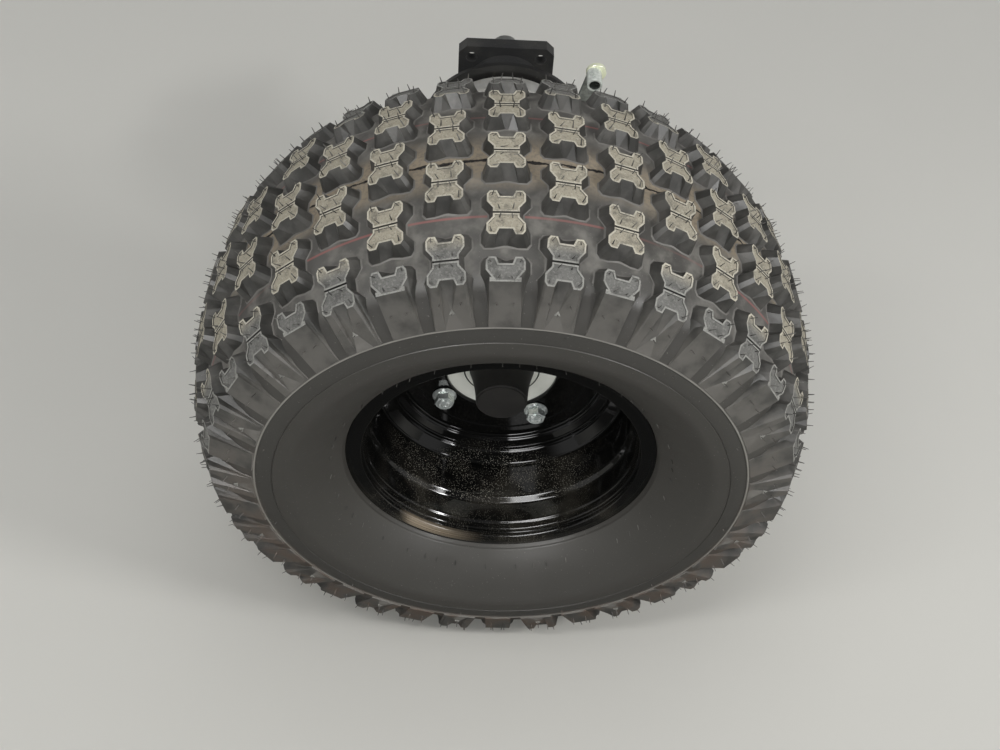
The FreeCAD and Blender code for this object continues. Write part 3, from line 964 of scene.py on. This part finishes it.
def hex_nut():
    """A hexagon cut off by a cone at its end, on a sloping washer flange."""
    size = {"radius": NUT_CORNER, "depth": NUT_BASE - NUT_TOP - 0.0004}
    lie = {"location": (0, WHEEL_Y + (NUT_BASE + NUT_TOP) / 2, 0), "rotation": (radians(90), 0, 0)}
    bpy.ops.object.select_all(action="DESELECT")
    bpy.ops.mesh.primitive_cylinder_add(vertices=6, **size, **lie)
    prism = bpy.context.object
    bpy.ops.object.transform_apply(location=True, rotation=True, scale=True)
    end = [(NUT_TOP, 0), (NUT_TOP, NUT_END_RADIUS), (NUT_TOP + 0.0014, 0.0080)]
    cone = turn("cone", end + [(0.0060, 0.0080), (0.0060, 0)], steps=48, closed=False)
    select(prism)
    cut = prism.modifiers.new("chamfer", "BOOLEAN")
    cut.operation = "INTERSECT"
    cut.object = cone
    bpy.ops.object.modifier_apply(modifier="chamfer")
    bpy.data.objects.remove(cone)
    edge = [(NUT_BASE, 0.0090), (NUT_BASE - 0.0006, 0.0093), (NUT_BASE - 0.0012, 0.0092)]
    slope = [(0.0004, 0.0078), (0.0004, 0)]
    return joined("nut", [prism, lathe("flange", [(NUT_BASE, 0), *edge, *slope])])


one_nut = hex_nut()
one_stud = lathe(
    "stud",
    [(STUD_TIP, 0), (STUD_TIP, 0.0024), (STUD_TIP + 0.0003, 0.0028), (STUD_TIP, 0.0032)]
    + [(STUD_TIP, 0.0040), (STUD_TIP + 0.0009, 0.0050), (0.0142, 0.0050), (0.0142, 0)],
)
spots = [
    Matrix.Translation((x, 0, z)) @ Matrix.Rotation(radians(degrees), 4, "Y")
    for (x, z), degrees in zip(STUD_PLACES, NUT_TURNS)
]
flange_nuts = joined("wheel_nuts", [copy_to(one_nut, spot) for spot in spots])
smooth(flange_nuts, 25)
wheel_studs = joined("wheel_studs", [copy_to(one_stud, spot) for spot in spots])
smooth(wheel_studs, 40)
bpy.data.objects.remove(one_nut)
bpy.data.objects.remove(one_stud)


def zinc(name, low, high, metallic=0.65, spot=None):
    """Bright zinc plate, clouded. A spot has x, z, radius and a colour painted over the plate
    there.
    """
    finish, place = new_finish(name)
    patch, grit = place.noise(260.0, 3.0), place.noise(1400.0, 2.0)
    colour = patch.fade(0.35, 0.7).mix(low, high)
    if spot:
        x, _, z = place.parts()
        away = length(x - spot[0], z - spot[1])
        colour = away.fade(spot[2] * 0.9, spot[2]).mix(spot[3], colour)
    roughness = 0.14 + patch * 0.16 + grit * 0.06
    relief = grit * 0.4 + patch
    return surface(finish, place, colour, roughness, relief, depth=0.00004, Metallic=metallic)


bright_zinc = zinc("bright_zinc", shade(242, 246, 242), shade(206, 214, 210))
for piece, node in ((flange_nuts, "flange_nuts"), (wheel_studs, "hub_studs")):
    piece.data.materials.append(bright_zinc)
    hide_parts(node)
    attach(piece, "wheel")


# Axle cap: a matt black moulding pushed over the axle's end, flared at its base, with a rounded
# edge round its flat face.
cap = lathe(
    "hub_cap",
    section(
        (-0.0257, 0.0),
        (-0.0257, 0.0179),
        ((-0.0243, 0.0192), 0.0004, 5),
        (-0.0170, 0.0197),
        ((0.0062, 0.0245), 0.0007, 8),
        (0.0062, 0.0),
    ),
    steps=96,
)


def matt_moulding(name, dark, light):
    """Fine-grained black plastic, paler where hands have rubbed it."""
    finish, place = new_finish(name)
    patch, grain = place.noise(45.0, 4.0), place.noise(1800.0, 2.0)
    colour = patch.fade(0.35, 0.75).mix(dark, light)
    return surface(finish, place, colour, 0.55 + patch * 0.12, grain * 0.6 + patch, depth=0.00006)


cap.data.materials.append(matt_moulding("cap_plastic", shade(36, 34, 32), shade(46, 44, 41)))
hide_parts("axle_cap")
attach(cap, "wheel")


# Axle: a solid turned steel shaft, splined where the hub and the drum sit. It goes on inboard,
# through the carrier's bearings.
axle_colours = (shade(170, 171, 168), shade(138, 138, 134))
dress("axle_shaft", turned_metal("axle_steel", *axle_colours, rough=0.30, metallic=0.85))


# Brake drum: cast iron, turned bright outside, with a groove near its open edge. It sits on the
# axle's splines and turns with the wheel.
drum = turn(
    "drum_shell",
    section(
        (0.2360, 0.0127),
        (0.2360, 0.0300),
        ((0.2360, 0.0320), 0.0002, 2),
        (0.2360, 0.0595),
        ((0.2385, 0.0620), 0.0009, 5),
        (0.2598, 0.0620),
        (0.2604, 0.0605),
        (0.2636, 0.0605),
        (0.2642, 0.0620),
        (0.2760, 0.0620),
        (0.2767, 0.0613),
        (0.2767, 0.0570),
        (0.2410, 0.0570),
        (0.2410, 0.0127),
    ),
    steps=120,
)
smooth(drum, 30)
drum_colours = (shade(190, 189, 184), shade(160, 158, 152))
drum_looks = {"rough": 0.34, "metallic": 0.45, "ring_scale": 5000.0}
drum.data.materials.append(turned_metal("drum_iron", *drum_colours, **drum_looks))
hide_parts("brake_drum")
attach(drum, "wheel")


# Back plate, carrier, bearings and cam stay with the vehicle, and the carrier holds the axle. The
# plate is pressed and painted, the carrier cast and painted.
PAINT_DUST = shade(120, 112, 98)


def coated(name, dark, light, rough, coarse, depth):
    """Paint over a plate or a casting, with the casting's grain and dust in its hollows."""
    finish, place = new_finish(name)
    patch, grain = place.noise(28.0, 4.0), place.noise(coarse, 4.0)
    colour = patch.fade(0.40, 0.75).mix(dark, light)
    colour = (grain.fade(0.60, 0.80) * 0.25).mix(colour, PAINT_DUST)
    return surface(finish, place, colour, rough + patch * 0.2, grain + patch, depth)


panel_colours = (shade(28, 28, 27), shade(44, 43, 41))
panel_looks = {"rough": 0.32, "coarse": 240.0, "depth": 0.00008}
dress("brake_panel", coated("panel_paint", *panel_colours, **panel_looks))
carrier_colours = (shade(40, 40, 40), shade(62, 61, 58))
carrier_looks = {"rough": 0.42, "coarse": 420.0, "depth": 0.0003}
dress("axle_carrier", coated("carrier_paint", *carrier_colours, **carrier_looks))
bearing_colours = (shade(168, 168, 165), shade(120, 119, 115))
dress("axle_bearings", turned_metal("bearing_steel", *bearing_colours, rough=0.30, metallic=0.8))
cam_colours = (shade(150, 150, 146), shade(110, 108, 102))
dress("brake_cam", turned_metal("cam_steel", *cam_colours, rough=0.38, metallic=0.8))


# Brake lever and cable pin: a pressed arm from the cam to a round end, and a pin with a hollow end.
# Both reach a little higher than the CAD's. Distances along the axle are from the wheel's centre
# plane.
CAM_PLACE = (0.0570, -0.0149)
TIP_PLACE = (0.0752, 0.0600)
PIN_PLACE = (0.0733, 0.0600)
LEVER_NEAR = 0.2877
LEVER_FAR = 0.2917
LEVER_WIDTH = 0.013
LEVER_CHAMFER = 0.0004
BOSS_RADIUS = 0.0110
TIP_RADIUS = 0.0086
PIN_TIP = 0.2712
PIN_RADIUS = 0.0065
PIN_HOLLOW = 0.0048
WARM_ZINC = shade(250, 252, 220)
HOLLOW_SHADE = shade(58, 62, 58)


def turned_at(name, outline, place):
    """Spins an open outline about a line parallel to the axle."""
    piece = lathe(name, outline)
    piece.data.transform(Matrix.Translation((place[0], 0, place[1])))
    return piece


def lever_disc(place, radius):
    """A round end of the lever, with its edges broken."""
    inner = radius - LEVER_CHAMFER
    outline = [(LEVER_NEAR, 0), (LEVER_NEAR, inner), (LEVER_NEAR + LEVER_CHAMFER, radius)]
    outline += [(LEVER_FAR - LEVER_CHAMFER, radius), (LEVER_FAR, inner), (LEVER_FAR, 0)]
    return turned_at("disc", outline, place)


run, rise = TIP_PLACE[0] - CAM_PLACE[0], TIP_PLACE[1] - CAM_PLACE[1]
halfway = (CAM_PLACE[0] + run / 2, WHEEL_Y + (LEVER_NEAR + LEVER_FAR) / 2, CAM_PLACE[1] + rise / 2)
bpy.ops.object.select_all(action="DESELECT")
bpy.ops.mesh.primitive_cube_add(size=1, location=halfway, rotation=(0, atan2(run, rise), 0))
arm = bpy.context.object
arm.scale = (LEVER_WIDTH, LEVER_FAR - LEVER_NEAR - LEVER_CHAMFER, hypot(run, rise))
bpy.ops.object.transform_apply(location=True, rotation=True, scale=True)
ends = [lever_disc(CAM_PLACE, BOSS_RADIUS), lever_disc(TIP_PLACE, TIP_RADIUS)]
lever = joined("cable_lever", [arm, *ends])
smooth(lever, 30)
warm_tip = (*TIP_PLACE, TIP_RADIUS + 0.0006, WARM_ZINC)
lever_colours = (shade(150, 153, 146), shade(120, 123, 116))
lever.data.materials.append(zinc("lever_zinc", *lever_colours, metallic=0.1, spot=warm_tip))
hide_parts("brake_lever")
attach(lever, "carrier")

hollow_end = [(PIN_TIP + 0.0030, 0), (PIN_TIP + 0.0030, 0.0040), (PIN_TIP + 0.0003, 0.0047)]
rim_of_end = [(PIN_TIP, 0.0055), (PIN_TIP + 0.0003, 0.0062), (PIN_TIP + 0.0009, PIN_RADIUS)]
shank = [(LEVER_NEAR, PIN_RADIUS), (LEVER_NEAR, 0)]
cable_pin = turned_at("cable_pin", hollow_end + rim_of_end + shank, PIN_PLACE)
smooth(cable_pin, 30)
# The pin's hollow end is painted dark, as painted shade in the recess.
shaded_hollow = (*PIN_PLACE, PIN_HOLLOW, HOLLOW_SHADE)
pin_colours = (shade(236, 240, 232), shade(200, 206, 198))
cable_pin.data.materials.append(zinc("pin_zinc", *pin_colours, metallic=0.35, spot=shaded_hollow))
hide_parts("lever_pin")
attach(cable_pin, "carrier")


# Stage: a pale floor, a soft lamp overhead, narrow ones at the front left and right, a sky, and the
# camera. Only glossy reflections show the floor's dark middle and the sky's two windows and wall.
FLOOR_Z = -0.2272
DARK_FLOOR = shade(20, 20, 19)
PALE_FLOOR = shade(190, 188, 181)
DARK_HALF = (0.26, 0.50)  # distances from the centre line between which the mirrored floor pales
LAMPS = (
    # place and aim from the wheel's middle, width, height, watts
    ((0.10, 0.20, 2.2), (0, 0, 0), 1.2, 1.2, 6),
    ((-0.71, -0.75, 1.60), (-0.71, 0, 0), 1.28, 0.12, 8),
    ((1.25, -0.65, 1.10), (0, 0, 0), 0.40, 0.10, 10),
)
WINDOW_LIGHT = 9.0
WALL_LIGHT = 0.50
SKY_LIGHT = 0.22
ALL_ROUND_LIGHT = 0.36
FRONT_LIGHT = 1.1
CAMERA_PLACE = (-0.0376, -0.7243, 0.8712)  # from the wheel's middle
CAMERA_YAW = -2.86
CAMERA_PITCH = -50.17
CAMERA_ROLL = 4.31
# Where the two windows start and end, east and up, as parts of a direction of length 1.
LONG_WINDOW = (((-0.76, -0.70), (-0.18, -0.13)), ((0.62, 0.66), (0.86, 0.90)))
SHORT_WINDOW = (((0.60, 0.63), (0.76, 0.79)), ((0.46, 0.50), (0.68, 0.72)))

bpy.ops.object.select_all(action="DESELECT")
bpy.ops.mesh.primitive_plane_add(size=8, location=(0, 0, FLOOR_Z))
floor = bpy.context.object
floor.name = "floor"
floor_finish, floor_place = new_finish("floor_grey")
floor_tone = floor_place.noise(3.0).mix(shade(206, 204, 197), shade(212, 210, 203))
mirrored = floor_place.node("LightPath", {}, {}, "Is Glossy Ray")
aside = abs(floor_place.parts()[0]).fade(*DARK_HALF)
floor_tone = mirrored.mix(floor_tone, aside.mix(DARK_FLOOR, PALE_FLOOR))
floor.data.materials.append(surface(floor_finish, floor_place, floor_tone, 0.8))

for place, aim, width, height, power in LAMPS:
    bpy.ops.object.light_add(type="AREA", location=WHEEL_MIDDLE + Vector(place))
    lamp = bpy.context.object
    lamp.rotation_euler = (Vector(aim) - Vector(place)).to_track_quat("-Z", "Y").to_euler()
    lamp.data.shape = "RECTANGLE"
    lamp.data.size, lamp.data.size_y, lamp.data.energy = width, height, power

world = bpy.data.worlds.new("world")
bpy.context.scene.world = world
world.use_nodes = True
way = world.node_tree.nodes.new("ShaderNodeTexCoord")
sky = Wire(world.node_tree, way.outputs["Generated"])
mirrored = sky.node("LightPath", {}, {}, "Is Glossy Ray")
east, north, up = sky.parts()
ahead = (0 - north).fade(0.0, 0.3)
windows = [east.band(*across) * up.band(*upward) for across, upward in (LONG_WINDOW, SHORT_WINDOW)]
wall = abs(east).fade(0.44, 0.60) * (1 - up.fade(0.30, 0.45))
reflected = up.fade(0.45, 0.95) * SKY_LIGHT + wall * WALL_LIGHT + 0.015
reflected = reflected + (windows[0] + windows[1]) * ahead * WINDOW_LIGHT
plain = ALL_ROUND_LIGHT + (0 - north).fade(0.3, 0.9) * (1 - up.fade(0.45, 0.85)) * FRONT_LIGHT
brightness = mirrored * reflected + (1 - mirrored) * plain
backdrop = mirrored.mix((0.98, 1.0, 1.02, 1), (1.0, 1.0, 1.0, 1))
background = world.node_tree.nodes["Background"]
world.node_tree.links.new(brightness.socket, background.inputs["Strength"])
world.node_tree.links.new(backdrop.socket, background.inputs["Color"])

bpy.ops.object.camera_add(location=WHEEL_MIDDLE + Vector(CAMERA_PLACE))
camera = bpy.context.object
turns = ((CAMERA_YAW, "Z"), (90 + CAMERA_PITCH, "X"), (CAMERA_ROLL, "Z"))
yaw, pitch, roll = [Matrix.Rotation(radians(degrees), 4, axis) for degrees, axis in turns]
camera.rotation_euler = (yaw @ pitch @ roll).to_euler()
camera.data.lens = 54.1
camera.data.sensor_width = 36
bpy.context.scene.camera = camera
bpy.context.scene.view_settings.view_transform = "Standard"
